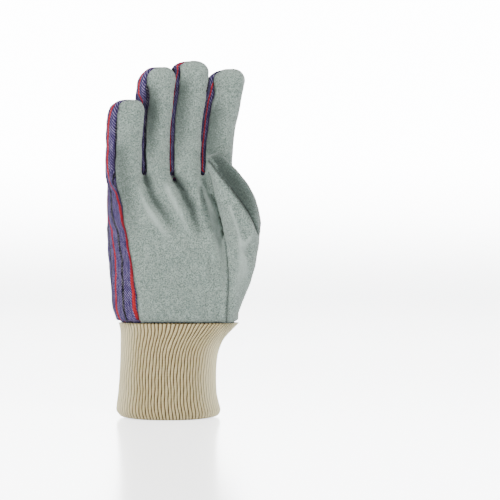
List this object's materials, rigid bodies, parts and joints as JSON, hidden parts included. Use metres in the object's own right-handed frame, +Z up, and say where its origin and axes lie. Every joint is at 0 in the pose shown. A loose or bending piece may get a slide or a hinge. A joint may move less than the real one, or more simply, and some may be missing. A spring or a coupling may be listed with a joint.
{
  "type": "leather palm work glove",
  "caption": "Right-hand work glove with a split-leather palm and thumb, a striped cloth back and a ribbed knit cuff, standing upright on its open wrist.",
  "frame": {"origin": "centre of the wrist opening, in the plane of the cuff's hem", "axes": "+Z up towards the fingertips, -Y out of the palm, +X towards the index finger and thumb"},
  "size_m": [0.1161, 0.0597, 0.268],
  "materials": {
    "split_leather": "soft napped grey-green split leather, matte",
    "striped_cloth": "blue-violet twill with narrow red and dark stripes along the fingers",
    "rib_knit": "natural cotton one-by-one rib knit"
  },
  "bodies": {
    "root": {"leather_palm": "split_leather", "fabric_back": "striped_cloth", "thumb_pad_panel": "split_leather", "thumb_back_panel": "split_leather", "knit_cuff": "rib_knit"}
  },
  "joints": []
}
